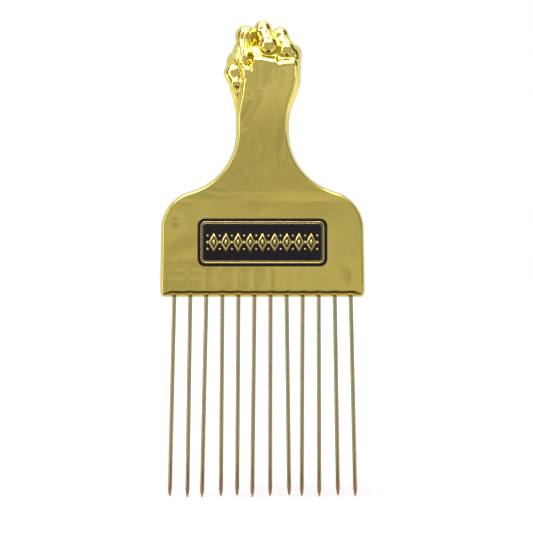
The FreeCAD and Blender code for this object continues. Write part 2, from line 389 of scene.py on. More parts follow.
def little_side():
    """The wrist's bend, the bulge and the corner on the little finger's side."""
    step, bulge = little_bulge_shares
    wrist = flare_z + wrist_bend_shares[0] * forearm_length
    across = step * neck_half_width
    radius = bend_room_share * bend_room(across, hand_z(bulge) - wrist) / 2
    corner_step, corner, corner_share = little_corner_shares
    corner_radius = corner_share * finger_radius
    return [
        (neck_half_width + radius, wrist, -radius),
        (neck_half_width + across - radius, hand_z(bulge), radius),
        ((1 + corner_step) * neck_half_width - corner_radius, hand_z(corner), corner_radius),
    ]


def thumb_side():
    """The corner, the hollow and the wrist's bend on the thumb's side."""
    corner_step, corner, corner_share = thumb_corner_shares
    corner_radius = corner_share * finger_radius
    hollow_step, hollow = thumb_hollow_shares
    wrist = flare_z + wrist_bend_shares[1] * forearm_length
    across = (corner_step - hollow_step) * neck_half_width
    room = bend_room(across, hand_z(corner) - hand_z(hollow))
    radius = hollow_room_share * (room - corner_radius)
    return [
        (corner_radius - (1 + corner_step) * neck_half_width, hand_z(corner), corner_radius),
        (-radius - (1 + hollow_step) * neck_half_width, hand_z(hollow), -radius),
        (radius - neck_half_width, wrist, radius),
    ]


def plate_side(inset):
    """The plate's corner, shoulder and flare on the right, drawn in by an inset."""
    corner = plate_corner_radius
    return [
        (plate_half_width - corner, foot_z + corner, corner - inset),
        (shoulder_x, shoulder_z, shoulder_radius - inset),
        (flare_x, flare_z, -flare_radius - inset),
    ]


def mirrored(circles):
    """The same chain on the left, in reverse so that it still runs counterclockwise."""
    return [(-x, z, radius) for x, z, radius in reversed(circles)]


def handle_outline():
    """The handle without its fingers, as seen from the front."""
    right = plate_side(0)
    return belt(right + little_side() + thumb_side() + mirrored(right))


def handle_profile():
    """The handle without its fingers, as seen from the side, with its foot run on downwards."""
    ramp_y = half_depth + ramp_bend_radius
    ramp_z = foot_z + ramp_start_height
    toe_y = half_depth - outer_edge_radius
    toe_z = foot_z - plate_depth
    circles = [(toe_y, toe_z, outer_edge_radius), (ramp_y, ramp_z, -ramp_bend_radius)]
    for reach, height, share in palm_shares:
        radius = share * finger_radius
        circles.append((reach * hand_half_depth - radius, hand_z(height), radius))
    reach, height, share = knuckle_ridge_shares
    radius = share * finger_radius
    circles += [
        (radius - reach * hand_half_depth, hand_z(height), radius),
        (-ramp_y, ramp_z, -ramp_bend_radius),
        (-toe_y, toe_z, outer_edge_radius),
    ]
    return belt(circles)


def hand_ball(shares, radius):
    """A joint's place and radius."""
    x, y, z, size = shares
    return np.array([hand_middle + x * hand_width, y * hand_half_depth, hand_z(z), size * radius])


def bones(joints, radius):
    """Limbs from joint to joint, each a ball at either end and the cone between them."""
    share, limbs = 1, []
    for here, there in zip(joints, joints[1:]):
        limbs.append((hand_ball(here, share * radius), hand_ball(there, radius)))
        share = bone_start_share
    return limbs


def waisted(joints, waist):
    """The first bone of a finger: the knuckle, drawn out a little towards the next joint, the next
    joint, and a slimmer waist between the two."""
    knuckle, joint = (hand_ball(shares, finger_radius) for shares in joints[:2])
    drawn_out = knuckle + knuckle_drawn_share * (joint - knuckle)
    thin = tuple(hand_ball(shares, waist * finger_radius) for shares in joints[:2])
    return [(knuckle, drawn_out), (joint - (0, 0, ball_length, 0), joint), thin]


def fingers():
    """The four fingers' limbs, each with a slim one inside that runs from the first joint to the
    third and fills the hollow under the second."""
    limbs = []
    slim = inner_bone_share * finger_radius
    for joints, waist in finger_plans:
        limbs += waisted(joints, waist) + bones(joints[1:], finger_radius)
        limbs.append((hand_ball(joints[0], slim), hand_ball(joints[2], slim)))
    return limbs


def limb_gap(limb, places):
    """Distance to a round cone: from its axis at the height where the cone's own slope meets the
    point, less the radius there. The height is the point's own, lowered by its distance from the
    axis times the slope's tangent."""
    start, end = limb
    axis = end[:3] - start[:3]
    length = np.linalg.norm(axis)
    slope = (start[3] - end[3]) / length
    reach = places - start[:3]
    up = reach @ (axis / length)
    out = np.sqrt(np.maximum((reach * reach).sum(1) - up * up, 0))
    foot = np.clip(up - out * slope / math.sqrt(1 - slope ** 2), 0, length)
    return np.hypot(out, up - foot) - (start[3] - slope * foot)


def soft_join(one, other, blend):
    """The lesser of two gaps, rounded where they are closer than a blend: the lesser, less a
    quarter of the squared overlap over the blend."""
    overlap = np.maximum(blend - np.abs(one - other), 0)
    return np.minimum(one, other) - overlap * overlap / (4 * blend)


outline_line = handle_outline()
profile_line = handle_profile()
pad_limbs = bones(thumb_pad_shares, finger_radius) + bones(palm_pad_shares, finger_radius)
pad_limbs += bones(thumb_web_shares, thumb_radius) + bones(knuckle_web_shares, finger_radius)
joined_limbs = (
    (pad_limbs, pad_blend),
    (bones(thumb_shares, thumb_radius), thumb_blend),
    (fingers(), finger_blend),
    (bones(thumb_base_shares, thumb_radius), thumb_base_blend),
)
furrow_limb = bones(furrow_shares, finger_radius)[0]


def ridge_rise(x):
    """Smooth steps from each place to the next."""
    rise = np.full(len(x), ridge_rises[0])
    for low, high, one, other in zip(ridge_places, ridge_places[1:], ridge_rises, ridge_rises[1:]):
        rise += (other - one) * ease(low, high, x)
    return rise


def block_gap(places):
    """The plate, forearm and palm: the outline run through from front to back and drawn in towards
    the faces, crossed with the profile run across, and their common edge rounded. Both gaps are
    raised by the edge's radius. The whole gap is the greater of them inside and their hypotenuse
    outside, less that radius."""
    x, y, z = places.T
    up_hand = ease(wrist_z, hand_z(hand_round_share), z)
    edge = plate_edge_round + (hand_edge_round - plate_edge_round) * up_hand
    inner = ease(*(plate_half_width - inset for inset in foot_round_insets), np.abs(x))
    low = ease(*(foot_z + rise for rise in foot_round_rises), z)
    edge = edge + (foot_edge_round - plate_edge_round) * inner * low
    front = belt_gap(outline_line, x, z) + wall_draft * np.abs(y) + edge
    near_top = ease(*(hand_z(share) for share in ridge_height_shares), z)
    lift = ridge_rise(x) * near_top * ease(*ridge_depths, y)
    side = belt_gap(profile_line, y, z - lift) + edge
    outside = np.hypot(np.maximum(front, 0), np.maximum(side, 0))
    return np.minimum(np.maximum(front, side), 0) + outside - edge


def handle_gap(places):
    """The block with every limb joined to it softly, and the furrow cut beside the index finger."""
    gap = block_gap(places)
    high = np.flatnonzero(places[:, 2] > limb_floor_z)
    if len(high):
        near, body = places[high], gap[high]
        for limbs, blend in joined_limbs:
            for limb in limbs:
                body = soft_join(body, limb_gap(limb, near), blend)
        gap[high] = -soft_join(-body, limb_gap(furrow_limb, near), furrow_blend)
    return gap


def random_dents():
    """Dents strewn over the plate and the forearm, as rows like those of the single sinks."""
    rng = np.random.default_rng(dent_seed)
    x = rng.uniform(-plate_half_width, plate_half_width, dent_count)
    z = rng.uniform(foot_z, wrist_z, dent_count)
    wide = rng.uniform(*dent_half_widths, dent_count)
    tall = wide * rng.uniform(*dent_stretches, dent_count)
    rough = (x < rough_place) & (z < foot_z + rough_rise)
    deep = rng.normal(0, dent_depth, dent_count) * np.where(rough, rough_depth_share, 1)
    return list(zip(x, z, wide, tall, deep))


all_dents = (*random_dents(), *plain_sinks)


def rib_troughs(x, z):
    """A Gaussian trough over each tine's rib. At the foot its depth changes from tine to tine, by
    the cosine of the squared tine number."""
    row = np.remainder(x / tine_pitch + tine_count / 2, 1) - 0.5
    inside = np.abs(x) < plate_half_width - plate_side_margin / 2
    trough = np.exp(-(row * tine_pitch / trough_half_width) ** 2) * inside
    weak = trough_least_share + (1 - trough_least_share) * ease(*trough_places, x)
    turn = foot_trough_turn * (x / tine_pitch + foot_trough_start) ** 2
    drawn_in = foot_trough_depth + foot_trough_change * np.cos(turn)
    low, lowest = (
        ease(*(foot_z + rise for rise in rises), z) for rises in (trough_rises, foot_trough_rises)
    )
    return trough * (trough_depth * weak * low + drawn_in * lowest)


def dents_and_grooves(x, y, z):
    """Dents, each a Gaussian hill, and on the front the tendons' grooves: Gaussian across, and
    along them a parabola that is nought at both ends."""
    depth = np.zeros(len(x))
    for place_x, place_z, wide, tall, deep in all_dents:
        depth += deep * np.exp(-((x - place_x) / wide) ** 2 - ((z - place_z) / tall) ** 2)
    for start_x, start_z, end_x, end_z, wide, deep in tendon_grooves:
        run_x, run_z = end_x - start_x, end_z - start_z
        along = ((x - start_x) * run_x + (z - start_z) * run_z) / (run_x ** 2 + run_z ** 2)
        along = np.clip(along, 0, 1)
        apart = np.hypot(x - start_x - along * run_x, z - start_z - along * run_z)
        depth += 4 * along * (1 - along) * deep * np.exp(-(apart / wide) ** 2) * (y < 0)
    return depth


def tendon_waves(x, y, z):
    """A cosine across the back of the hand, whose pitch grows with the height."""
    climb = (z - wrist_z) / hand_height
    start, growth = tendon_fan_shares
    spread = (x - hand_middle) / (start + growth * climb)
    wave = tendon_depth * np.cos(spread * math.tau / tendon_pitch + tendon_turn)
    return wave * ease(*tendon_start_shares, climb) * ease(*tendon_end_shares, climb) * (y < 0)


def index_flutes(x, y, z):
    """A cosine across the index finger, swayed by a sine of the height."""
    swayed = x + flute_sway * np.sin(z / flute_sway_length) - flute_place
    wave = flute_depth * np.cos(swayed * math.tau / flute_pitch)
    for value, fades in zip((x, z, y), flute_fades):
        for low, high in fades:
            wave = wave * ease(low, high, value)
    return wave


def sink(places):
    """How far the faces have sunk below the handle's plain surface."""
    x, y, z = places.T
    face = ease(*(half_depth - inset for inset in face_fade), np.abs(y))
    relief = rib_troughs(x, z) + dents_and_grooves(x, y, z)
    return face * (relief + tendon_waves(x, y, z) + index_flutes(x, y, z))


def half_frame():
    """The inner frame's right half from the middle of the foot to the top: places, outward
    normals, and the height at which each row crosses the middle. The frame is a belt drawn in from
    the plate's edge, round a circle inside the fist."""
    inset = outer_edge_radius
    core_z = hand_z(core_share)
    side = plate_side(inset)
    ring, begin, turn = belt(side + [(0, core_z, core_radius)] + mirrored(side))
    detail = 1
    counts = [max(least_rows, int(count * detail)) for count in frame_rows]
    rises = [foot_z + rise for rise in (inset, *frame_middle_rises)] + [flare_z, core_z]
    parts = []
    for number, count in enumerate(counts[:-1]):
        share = np.arange(count)[:, None] / count
        low, high = rises[number], rises[number + 1]
        height = low + (high - low) * share[:, 0]
        index = number // 2
        if number == 0:
            corner = belt_point(ring[:1], begin[:1])[0]
            parts.append(([0, corner[1]] + share * [corner[0], 0], np.zeros(count), height))
        elif number % 2:
            heading = begin[index] + turn[index] * share[:, 0]
            parts.append((belt_point(ring[index][None], heading), heading, height))
        else:
            heading = begin[index - 1] + turn[index - 1]
            start, stop = (belt_point(ring[i], heading) for i in (index - 1, index))
            parts.append((start + share * (stop - start), np.full(count, heading), height))
    core = len(side)
    share = np.linspace(0, 1, counts[-1])
    heading = begin[core] + (math.pi - begin[core]) * share
    low, top = height[-1], core_z + core_radius
    rise = (top - low) * (1 - np.cos(share * math.pi / 2))
    parts.append((belt_point(ring[core][None], heading), heading, low + rise))
    at, heading, middle = (np.concatenate(part) for part in zip(*parts))
    at[[0, -1], 0] = 0
    middle[[0, -1]] = at[[0, -1], 1]
    return at, outward(heading), middle


def inner_columns(at, out, middle, count):
    """Rows across the frame: two cubic Hermite runs from the rim to the middle line, square to the
    rim, level at the middle."""
    across = np.linspace(0, 1, count + 1)[1:-1]
    x, z = at[:, :1], at[:, 1:]
    lift = middle[:, None] - z
    reach = np.hypot(x, lift)
    leave = leave_share * np.minimum(reach, leave_start + leave_growth * reach)
    corner = plate_half_width - plate_corner_radius
    foot_tilt = np.clip(x / corner, 0, 1) ** foot_tilt_power
    side_tilt = 1 + ease(foot_z + plate_corner_radius, shoulder_z, z)
    tilt = np.where(z < foot_z + plate_corner_radius, foot_tilt, side_tilt) * math.pi / 4
    out = np.where(z < shoulder_z, outward(tilt[:, 0]), out)
    share = 1 - np.where(across < 0.5, 1 - 2 * across, 2 * across - 1)[None]
    rise, start = ease(0, 1, share), share * (1 - share) ** 2
    finish = share * share * (share - 1)
    run_x = x * (1 - rise) - start * leave * out[:, :1] - finish * level_share * x
    run_z = z + lift * rise - start * leave * out[:, 1:]
    return run_x * np.where(across < 0.5, -1, 1)[None], run_z


def stacked(*parts):
    """Joins X, Y and Z, each spread over the shape that they share."""
    return np.stack(np.broadcast_arrays(*parts), -1)


def skin_lines(facing):
    """Start places inside the body, directions outwards and the room to search, for each row and
    column of one skin. From the parting plane the columns go down the side wall, turn through a
    right angle, cross the face and come back."""
    at, out, middle = half_frame()
    wall_count, fan_count, face_count = skin_columns
    hand = ease(flare_z, hand_z(hand_frame_share), middle)
    deep = (half_depth - outer_edge_radius) * (1 - hand) + hand_frame_depth * hand
    share = np.linspace(0, 1, wall_count + 1)[:-1] ** wall_column_power
    turn = np.linspace(0, math.pi / 2, fan_count + 1)
    down = np.concatenate([share, np.ones(fan_count + 1)])
    level = np.concatenate([np.ones(wall_count), np.cos(turn)])
    dip = np.concatenate([np.zeros(wall_count), np.sin(turn)])
    right_at = stacked(at[:, :1], deep[:, None] * down, at[:, 1:])
    right_out = stacked(out[:, :1] * level, dip, out[:, 1:] * level)
    run_x, run_z = inner_columns(at, out, middle, face_count)
    face_at = stacked(run_x, deep[:, None], run_z)
    face_out = np.zeros_like(face_at)
    face_out[..., 1] = 1
    flip = np.array([-1, 1, 1])
    starts = np.concatenate([right_at * flip, face_at, right_at[:, ::-1]], 1)
    ways = np.concatenate([right_out * flip, face_out, right_out[:, ::-1]], 1)
    room = outer_edge_radius + plate_room + hand_room * hand
    facing = np.array([1, facing, 1])
    return starts * facing, ways * facing, np.repeat(room, starts.shape[1])


def skin_surface(facing):
    """Goes in along each line from outside by part of the gap that is left, until the gap is
    closed, then sinks the faces. A normal is the slope of the gap and the sink, added up."""
    starts, ways, reach = skin_lines(facing)
    shape = starts.shape[:2]
    starts, ways = starts.reshape(-1, 3), ways.reshape(-1, 3)
    active = np.arange(len(starts))
    for _ in range(closing_rounds):
        gap = handle_gap(starts[active] + ways[active] * reach[active, None])
        reach[active] = np.maximum(reach[active] - closing_share * gap, least_reach)
        active = active[np.abs(gap) > closed_gap]
        if not len(active):
            break
    places = starts + ways * reach[:, None]
    normals = np.empty_like(places)
    for axis, shift in enumerate(np.eye(3) * slope_step):
        ahead, behind = places + shift, places - shift
        rise = handle_gap(ahead) + sink(ahead)
        normals[:, axis] = rise - (handle_gap(behind) + sink(behind))
    places = places - ways * sink(places)[:, None]
    normals /= np.linalg.norm(normals, axis=1, keepdims=True)
    return places.reshape(*shape, 3), normals.reshape(*shape, 3)


def grid_faces(rows, columns):
    """The four-sided faces of a grid whose places are numbered row by row."""
    corner = np.arange(rows - 1)[:, None] * columns + np.arange(columns - 1)
    return np.stack([corner, corner + 1, corner + columns + 1, corner + columns], -1).reshape(-1, 4)


def build(name, places, faces, material):
    """A smooth mesh from an array of places in millimetres and a list of faces."""
    mesh = bpy.data.meshes.new(name)
    mesh.from_pydata((places * MM).tolist(), [], faces)
    mesh.polygons.foreach_set("use_smooth", np.ones(len(mesh.polygons), bool))
    mesh.materials.append(material)
    piece = bpy.data.objects.new(name, mesh)
    bpy.context.scene.collection.objects.link(piece)
    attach(piece, "root")
    return piece


def welded(places, faces):
    """Joins the corners that lie in one place, to five decimals, and drops the sides and faces
    that this leaves without a length."""
    rounded = np.round(places, 5)
    _, first, same = np.unique(rounded, axis=0, return_index=True, return_inverse=True)
    same = same.reshape(-1)
    faces = same[faces]
    changed = faces != np.roll(faces, 1, 1)
    whole = changed.all(1)
    kept = faces[whole].tolist()
    for face, keep in zip(faces[~whole].tolist(), changed[~whole].tolist()):
        short = [corner for corner, stays in zip(face, keep) if stays]
        if len(set(short)) > 2:
            kept.append(short)
    return first, same, kept


def handle_skin(name, node, facing, material):
    """One half of the handle: the skin, and the flat parting face inside its edge, which goes up
    the last column and down the first."""
    places, normals = skin_surface(facing)
    rows, columns = places.shape[:2]
    places, normals = places.reshape(-1, 3), normals.reshape(-1, 3)
    first, same, faces = welded(places, grid_faces(rows, columns))
    edge = same.reshape(rows, columns)
    faces.append([*edge[:, -1], *edge[-2:0:-1, 0]])
    if facing > 0:
        faces = [face[::-1] for face in faces]
    piece = build(name, places[first], faces, material)
    corners = np.empty(len(piece.data.loops), np.int32)
    piece.data.loops.foreach_get("vertex_index", corners)
    slants = normals[first][corners]
    slants[-len(faces[-1]):] = (0, -facing, 0)
    piece.data.normals_split_custom_set(slants.tolist())
    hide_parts(node)


def wrapped(places):
    """A surface whose rows go all the way round, closed to points at the ends where a row has no
    width: places, faces, and the number of each corner."""
    rows, columns = places.shape[:2]
    ring = np.concatenate([places, places[:, :1]], 1).reshape(-1, 3)
    first, same, faces = welded(ring, grid_faces(rows, columns + 1))
    return ring[first], faces, same.reshape(rows, columns + 1)[:, :-1]


def tine_surface(number):
    """A wire round a leaning line. Near the tip its radius is less by a power of the distance
    below the taper's end, and it closes in a round nose. Its root is flattened: the round section
    turns into a rounded oblong, by powers of the sine and cosine."""
    tip = tine_short_shares[number] * tine_radius - tine_reach
    nose, neck = tine_nose_radius, tine_root_length - head_height
    bend = np.linspace(0, math.pi / 2, tine_rows[0])
    stops = (nose, taper_length, neck - tip, tine_root_length - tip)
    rise = [nose * (1 - np.cos(bend))]
    for low, high, count in zip(stops, stops[1:], tine_rows[1:]):
        rise.append(np.linspace(low, high, count)[1:])
    rise = np.concatenate(rise)
    taper = np.clip((rise[len(bend):] - nose) / (taper_length - nose), 0, 1)
    taper = 1 - (1 - taper) ** taper_power
    radius = nose + (taper_width_share * tine_radius - nose) * taper
    radius = np.concatenate([nose * np.sin(bend), radius])
    radius += swell_width_share * tine_radius * ease(*swell_rises, rise)
    flat = ease(neck - tip, neck - tip + head_change_rise, rise)
    wide, thick = (radius + (size / 2 - radius) * flat for size in (head_width, head_thickness))
    wide[[0, -1]] = thick[[0, -1]] = 0
    angle = np.arange(tine_sides) / tine_sides * math.tau
    power = 1 - head_squareness * flat[:, None]
    x, y = (
        size[:, None] * np.sign(wave) * np.abs(wave) ** power
        for size, wave in ((wide, np.cos(angle)[None]), (thick, np.sin(angle)[None]))
    )
    z = (tip + rise)[:, None]
    lean = math.atan(tine_lean_shares[number] * tine_pitch / tine_reach)
    middle = (number - (tine_count - 1) / 2) * tine_pitch
    across = x * math.cos(lean) - z * math.sin(lean)
    up = z * math.cos(lean) + x * math.sin(lean)
    return stacked(middle + across, y, foot_z + up)


def oblong(width, height, radius):
    """A rounded oblong's outline, counterclockwise from the front, as places across and up."""
    angle = np.linspace(0, math.pi / 2, quarter_points)
    runs = []
    for quarter, (right, up) in enumerate(((1, 1), (-1, 1), (-1, -1), (1, -1))):
        turn = angle + quarter * math.pi / 2
        middle = np.array([right * (width / 2 - radius), up * (height / 2 - radius)])
        runs.append(middle + radius * np.stack([np.cos(turn), np.sin(turn)], -1))
    return np.concatenate(runs)


def on_label(line, depth):
    """An outline round the label's middle, at a depth."""
    return stacked(line[:, 0], depth, label_z + line[:, 1])


def label_slab():
    """A rounded oblong plate, its front edge rounded by a quarter circle."""
    bend = np.linspace(0, math.pi / 2, label_edge_rows)
    insets = [0, *(label_edge_round * (1 - np.cos(bend)))]
    depths = [label_back, *(label_front + label_edge_round * (1 - np.sin(bend)))]
    rings = []
    for inset, depth in zip(insets, depths):
        size = (label_width - 2 * inset, label_height - 2 * inset, label_corner_radius - inset)
        rings.append(on_label(oblong(*size), depth))
    places, faces, same = wrapped(np.array(rings))
    return places, faces + [same[0][::-1].tolist(), same[-1].tolist()]


def flat_band(outer, inner):
    """A thin closed band of print between two outlines of the same count."""
    front = label_front - print_thickness
    corners = (outer, label_front), (outer, front), (inner, front), (inner, label_front)
    rings = [on_label(line, depth) for line, depth in corners]
    return wrapped(np.array(rings + rings[:1]))[:2]


def flat_patch(outline):
    """A band whose inner outline has shrunk to the middle."""
    return flat_band(outline, np.zeros_like(outline) + outline.mean(0))


def round_line(count, across, up):
    """Places round an ellipse, of which four make a lozenge."""
    angle = np.arange(count) / count * math.tau
    return np.stack([np.cos(angle) * across, np.sin(angle) * up], -1)


def print_shapes():
    """The label's gold print, all in one: two frame lines, and a row of lozenges with dots between
    each two and at both ends."""
    parts = []
    for inset, line in frame_lines:
        corner = label_corner_radius - frame_corner_share * inset
        outer, inner = (
            oblong(label_width - 2 * edge, label_height - 2 * edge, radius)
            for edge, radius in ((inset, corner), (inset + line, corner - line))
        )
        parts.append(flat_band(outer, inner))
    for place in np.arange(lozenge_count) - (lozenge_count - 1) / 2:
        middle = [place * lozenge_pitch, 0]
        outside, inside, core = (round_line(4, *halves) + middle for halves in lozenge_halves)
        parts += [flat_band(outside, inside), flat_patch(core)]
    for place in np.arange(lozenge_count + 1) - lozenge_count / 2:
        for up, size in dot_plans:
            dot = round_line(dot_sides, size, size)
            parts.append(flat_patch(dot + [place * lozenge_pitch, up]))
    places, faces, count = [], [], 0
    for some, sides in parts:
        places.append(some)
        faces += [[corner + count for corner in side] for side in sides]
        count += len(some)
    return np.concatenate(places), faces


class Net:
    """A node tree and short ways to add nodes to it."""

    def __init__(self, tree):
        self.tree = tree

    def node(self, kind, *sources, **named):
        """Adds a node. Its first sockets take the sources in turn, and its settings and other
        sockets take theirs by name."""
        made = self.tree.nodes.new(kind)
        for source, socket in zip(sources, made.inputs):
            self.link(source, socket)
        for name, value in named.items():
            if hasattr(made, name):
                setattr(made, name, value)
            else:
                self.link(value, made.inputs[name.replace("_", " ")])
        return made

    def link(self, source, socket):
        """Feeds a socket from another node's output, or sets it to a constant."""
        if isinstance(source, bpy.types.NodeSocket):
            self.tree.links.new(source, socket)
        else:
            socket.default_value = source

    def place(self):
        return self.node("ShaderNodeTexCoord").outputs["Object"]

    def parts(self, vector):
        """The X, Y and Z of a vector."""
        return self.node("ShaderNodeSeparateXYZ", Vector=vector).outputs

    def count(self, operation, one, other):
        return self.node("ShaderNodeMath", one, other, operation=operation).outputs[0]

    def noise(self, scale, detail=2, stretch=(1, 1, 1)):
        place = self.node("ShaderNodeMapping", self.place(), Scale=stretch).outputs["Vector"]
        made = self.node("ShaderNodeTexNoise", place, Scale=scale, Detail=detail)
        return made.outputs["Fac"]

    def ranged(self, value, low, high, start=0.3, stop=0.7):
        """Rises smoothly from low to high while the value goes from start to stop, and stays level
        beyond."""
        sources = (value, start, stop, low, high)
        made = self.node("ShaderNodeMapRange", *sources, interpolation_type="SMOOTHSTEP")
        return made.outputs["Result"]

    def mixed(self, share, one, other):
        """One colour at nought, the other at one."""
        made = self.node("ShaderNodeMix", share, data_type="RGBA")
        first_colour, colour_result = 6, 2
        for number, colour in enumerate((one, other)):
            colour = (*colour, 1) if isinstance(colour, tuple) else colour
            self.link(colour, made.inputs[first_colour + number])
        return made.outputs[colour_result]

    def ramp(self, value, stops):
        """Grey levels at places along a value from nought to one."""
        made = self.node("ShaderNodeValToRGB", value)
        band = made.color_ramp
        for place, level in stops[1:-1]:
            band.elements.new(place)
        for element, (place, level) in zip(band.elements, stops):
            element.position = place
            element.color = (level, level, level, 1)
        return made.outputs["Color"]


class Finish(Net):
    """A material whose places are in metres from the origin. Its colour and roughness are plain
    where no node varies them."""

    def __init__(self, name, colour, metallic, roughness):
        self.material = bpy.data.materials.new(name)
        self.material.use_nodes = True
        super().__init__(self.material.node_tree)
        self.shader = self.tree.nodes["Principled BSDF"].inputs
        self.use("Base Color", (*colour, 1))
        self.use("Metallic", metallic)
        self.use("Roughness", roughness)

    def use(self, socket, source):
        self.link(source, self.shader[socket])

    def bump(self, height, strength, distance):
        made = self.node("ShaderNodeBump", Strength=strength, Distance=distance, Height=height)
        self.use("Normal", made.outputs["Normal"])


def gold_plating():
    """Bright plating on a moulded plastic: a mirror with faint clouds, flow marks and fine wipe
    marks. Its colour is painted a little brighter on the hand than on the plate, as painted light
    for the brighter light that falls on the hand."""
    plate_colours = (0.7, 0.555, 0.128), (0.64, 0.525, 0.128)
    # The hand's colours are painted brighter and paler than the plate's: painted light for the
    # brighter light on the hand, not a different plating.
    hand_colours_painted_brighter = (0.79, 0.64, 0.168), (0.73, 0.605, 0.168)
    change_start, change_end = 0.128, 0.144
    finish = Finish("gold_plating", (0.66, 0.53, 0.13), 1, 0.06)
    finish.use("Specular Tint", (0.84, 0.86, 0.62, 1))
    clouds = finish.ranged(finish.noise(70, 4), 0, 1)
    plate = finish.mixed(clouds, *plate_colours)
    height = finish.parts(finish.place())["Z"]
    change = finish.ranged(height, 0, 1, change_start, change_end)
    finish.use("Base Color", finish.mixed(change, plate, finish.mixed(clouds, *hand_colours_painted_brighter)))
    wipe_marks = finish.noise(900, 2, (1, 1, 0.12))
    finish.use("Roughness", finish.ranged(wipe_marks, 0.035, 0.085))
    flow_marks = finish.noise(160, 2)
    finish.bump(flow_marks, 0.06, 0.0004)
    return finish.material


def tine_steel():
    """Drawn steel wire with a thin brassy coat, browner in patches towards the points."""
    coat, point_coat = (0.43, 0.375, 0.22), (0.44, 0.31, 0.16)
    brown_height = 0.045
    finish = Finish("tine_steel", (0.7, 0.64, 0.4), 1, 0.2)
    finish.use("Specular Tint", (0.5, 0.46, 0.36, 1))
    height = finish.parts(finish.place())["Z"]
    patches = finish.ranged(finish.noise(420, 3, (1, 1, 0.25)), 0.45, 1)
    browner = finish.count("MULTIPLY", finish.ranged(height, 1, 0, 0, brown_height), patches)
    finish.use("Base Color", finish.mixed(browner, coat, point_coat))
    drawn = finish.noise(2600, 2, (1, 1, 0.02))
    finish.use("Roughness", finish.ranged(drawn, 0.16, 0.28))
    finish.bump(drawn, 0.1, 0.00002)
    return finish.material


def label_film():
    """Black satin film with a fine stipple."""
    dark, less_dark = (0.0085, 0.0075, 0.0095), (0.0115, 0.01, 0.0125)
    finish = Finish("label_film", (0.009, 0.008, 0.01), 0, 0.5)
    finish.use("Specular IOR Level", 0.12)
    patches = finish.ranged(finish.noise(240, 2), 0, 1)
    finish.use("Base Color", finish.mixed(patches, dark, less_dark))
    stipple = finish.noise(5200, 2)
    finish.use("Roughness", finish.ranged(stipple, 0.42, 0.58))
    finish.bump(stipple, 0.12, 0.00002)
    return finish.material


def label_ink():
    """Gold printing ink with small metallic flakes."""
    bright, dull = (0.6, 0.46, 0.15), (0.48, 0.37, 0.12)
    finish = Finish("label_ink", (0.56, 0.43, 0.14), 0.75, 0.38)
    flakes = finish.noise(6500, 2)
    finish.use("Base Color", finish.mixed(finish.ranged(flakes, 0, 1), bright, dull))
    finish.use("Roughness", finish.ranged(flakes, 0.3, 0.46))
    return finish.material


gold = gold_plating()
handle_skin("front_skin", "front_shell", -1, gold)
handle_skin("rear_skin", "rear_shell", 1, gold)

steel = tine_steel()
for number in range(tine_count):
    node = "tine_%02d" % (number + 1)
    piece = build(node + "_wire", *wrapped(tine_surface(number))[:2], steel)
    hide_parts(node)

film = build("label_film", *label_slab(), label_film())
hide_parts("front_label")
printing = build("label_print", *print_shapes(), label_ink())


scene = bpy.context.scene
scene.view_settings.view_transform = "Standard"

# Grey levels that the plating mirrors, from the front of the room round to the back: on the left
# and above, where a pale card stands before a dark gap, and on the right and below
lit_side = (
    (0, 0.6), (0.22, 0.6), (0.26, 0.92), (0.34, 1.0),
    (0.38, 0.12), (0.49, 0.12), (0.53, 0.9), (1, 1),
)
dim_side = (
    (0, 0.6), (0.13, 0.58), (0.19, 0.34), (0.32, 0.3),
    (0.36, 0.1), (0.58, 0.12), (0.66, 0.5), (0.8, 1),
)

# How far the high card reaches from the front of the room round to the back
high_card = ((0.13, 0), (0.17, 1), (0.33, 1), (0.38, 0))

# Grey levels of the paper in front, by its height plus a share of its distance beyond a start
paper_levels = (
    (0, 1), (0.13, 1), (0.165, 0.95), (0.2, 1.08),
    (0.235, 1.12), (0.26, 1.06), (0.3, 1.04), (0.35, 0.93),
)
paper_distance_start = 0.1
paper_distance_share = 0.2


def studio_room():
    """The room round the object. It is white where it is seen, and a plain light level for the
    rest. What the plating mirrors depends on the way: dim in front, bright behind, with cards and
    gaps at the sides, and a bright ceiling. The side is told by the way up less the way across."""
    card_strength, card_edge = 2.4, (0.35, 0.75)
    ceiling_strength, ceiling_edge = 5.5, (0.865, 0.9)
    ceiling_back_share, ceiling_fade = 0.2, (0.2, 0.5)
    up_share, across_share, side_change = 0.65, 0.8, (-0.15, 0.3)
    world = bpy.data.worlds.new("studio_room")
    world.use_nodes = True
    scene.world = world
    net = Net(world.node_tree)
    way = net.parts(net.node("ShaderNodeTexCoord").outputs["Generated"])
    depth = net.node("ShaderNodeMapRange", way["Y"], From_Min=-1).outputs["Result"]
    up = net.count("MULTIPLY", way["Z"], up_share)
    across = net.count("MULTIPLY", way["X"], across_share)
    lit = net.ranged(net.count("SUBTRACT", up, across), 0, 1, *side_change)
    sides = net.mixed(lit, net.ramp(depth, dim_side), net.ramp(depth, lit_side))
    card = net.ranged(way["Z"], 0, card_strength, *card_edge)
    card = net.count("MULTIPLY", card, net.ramp(depth, high_card))
    ceiling = net.ranged(way["Z"], 0, ceiling_strength, *ceiling_edge)
    fade = net.ranged(way["Y"], 1, ceiling_back_share, *ceiling_fade)
    ceiling = net.count("MULTIPLY", ceiling, fade)
    above = net.count("ADD", net.count("ADD", card, ceiling), 1)
    mirrored_room = net.node("ShaderNodeBackground", sides, above)
    white = net.node("ShaderNodeBackground", (1, 1, 1, 1))
    light = net.tree.nodes["Background"]
    net.link((0.5, 0.5, 0.5, 1), light.inputs["Color"])
    path = net.node("ShaderNodeLightPath").outputs
    last = light.outputs[0]
    rays = ("Is Glossy Ray", "Is Transmission Ray", "Is Camera Ray")
    for ray, source in zip(rays, (mirrored_room, white, white)):
        last = net.node("ShaderNodeMixShader", path[ray], last, source.outputs[0]).outputs[0]
    net.link(last, net.tree.nodes["World Output"].inputs["Surface"])


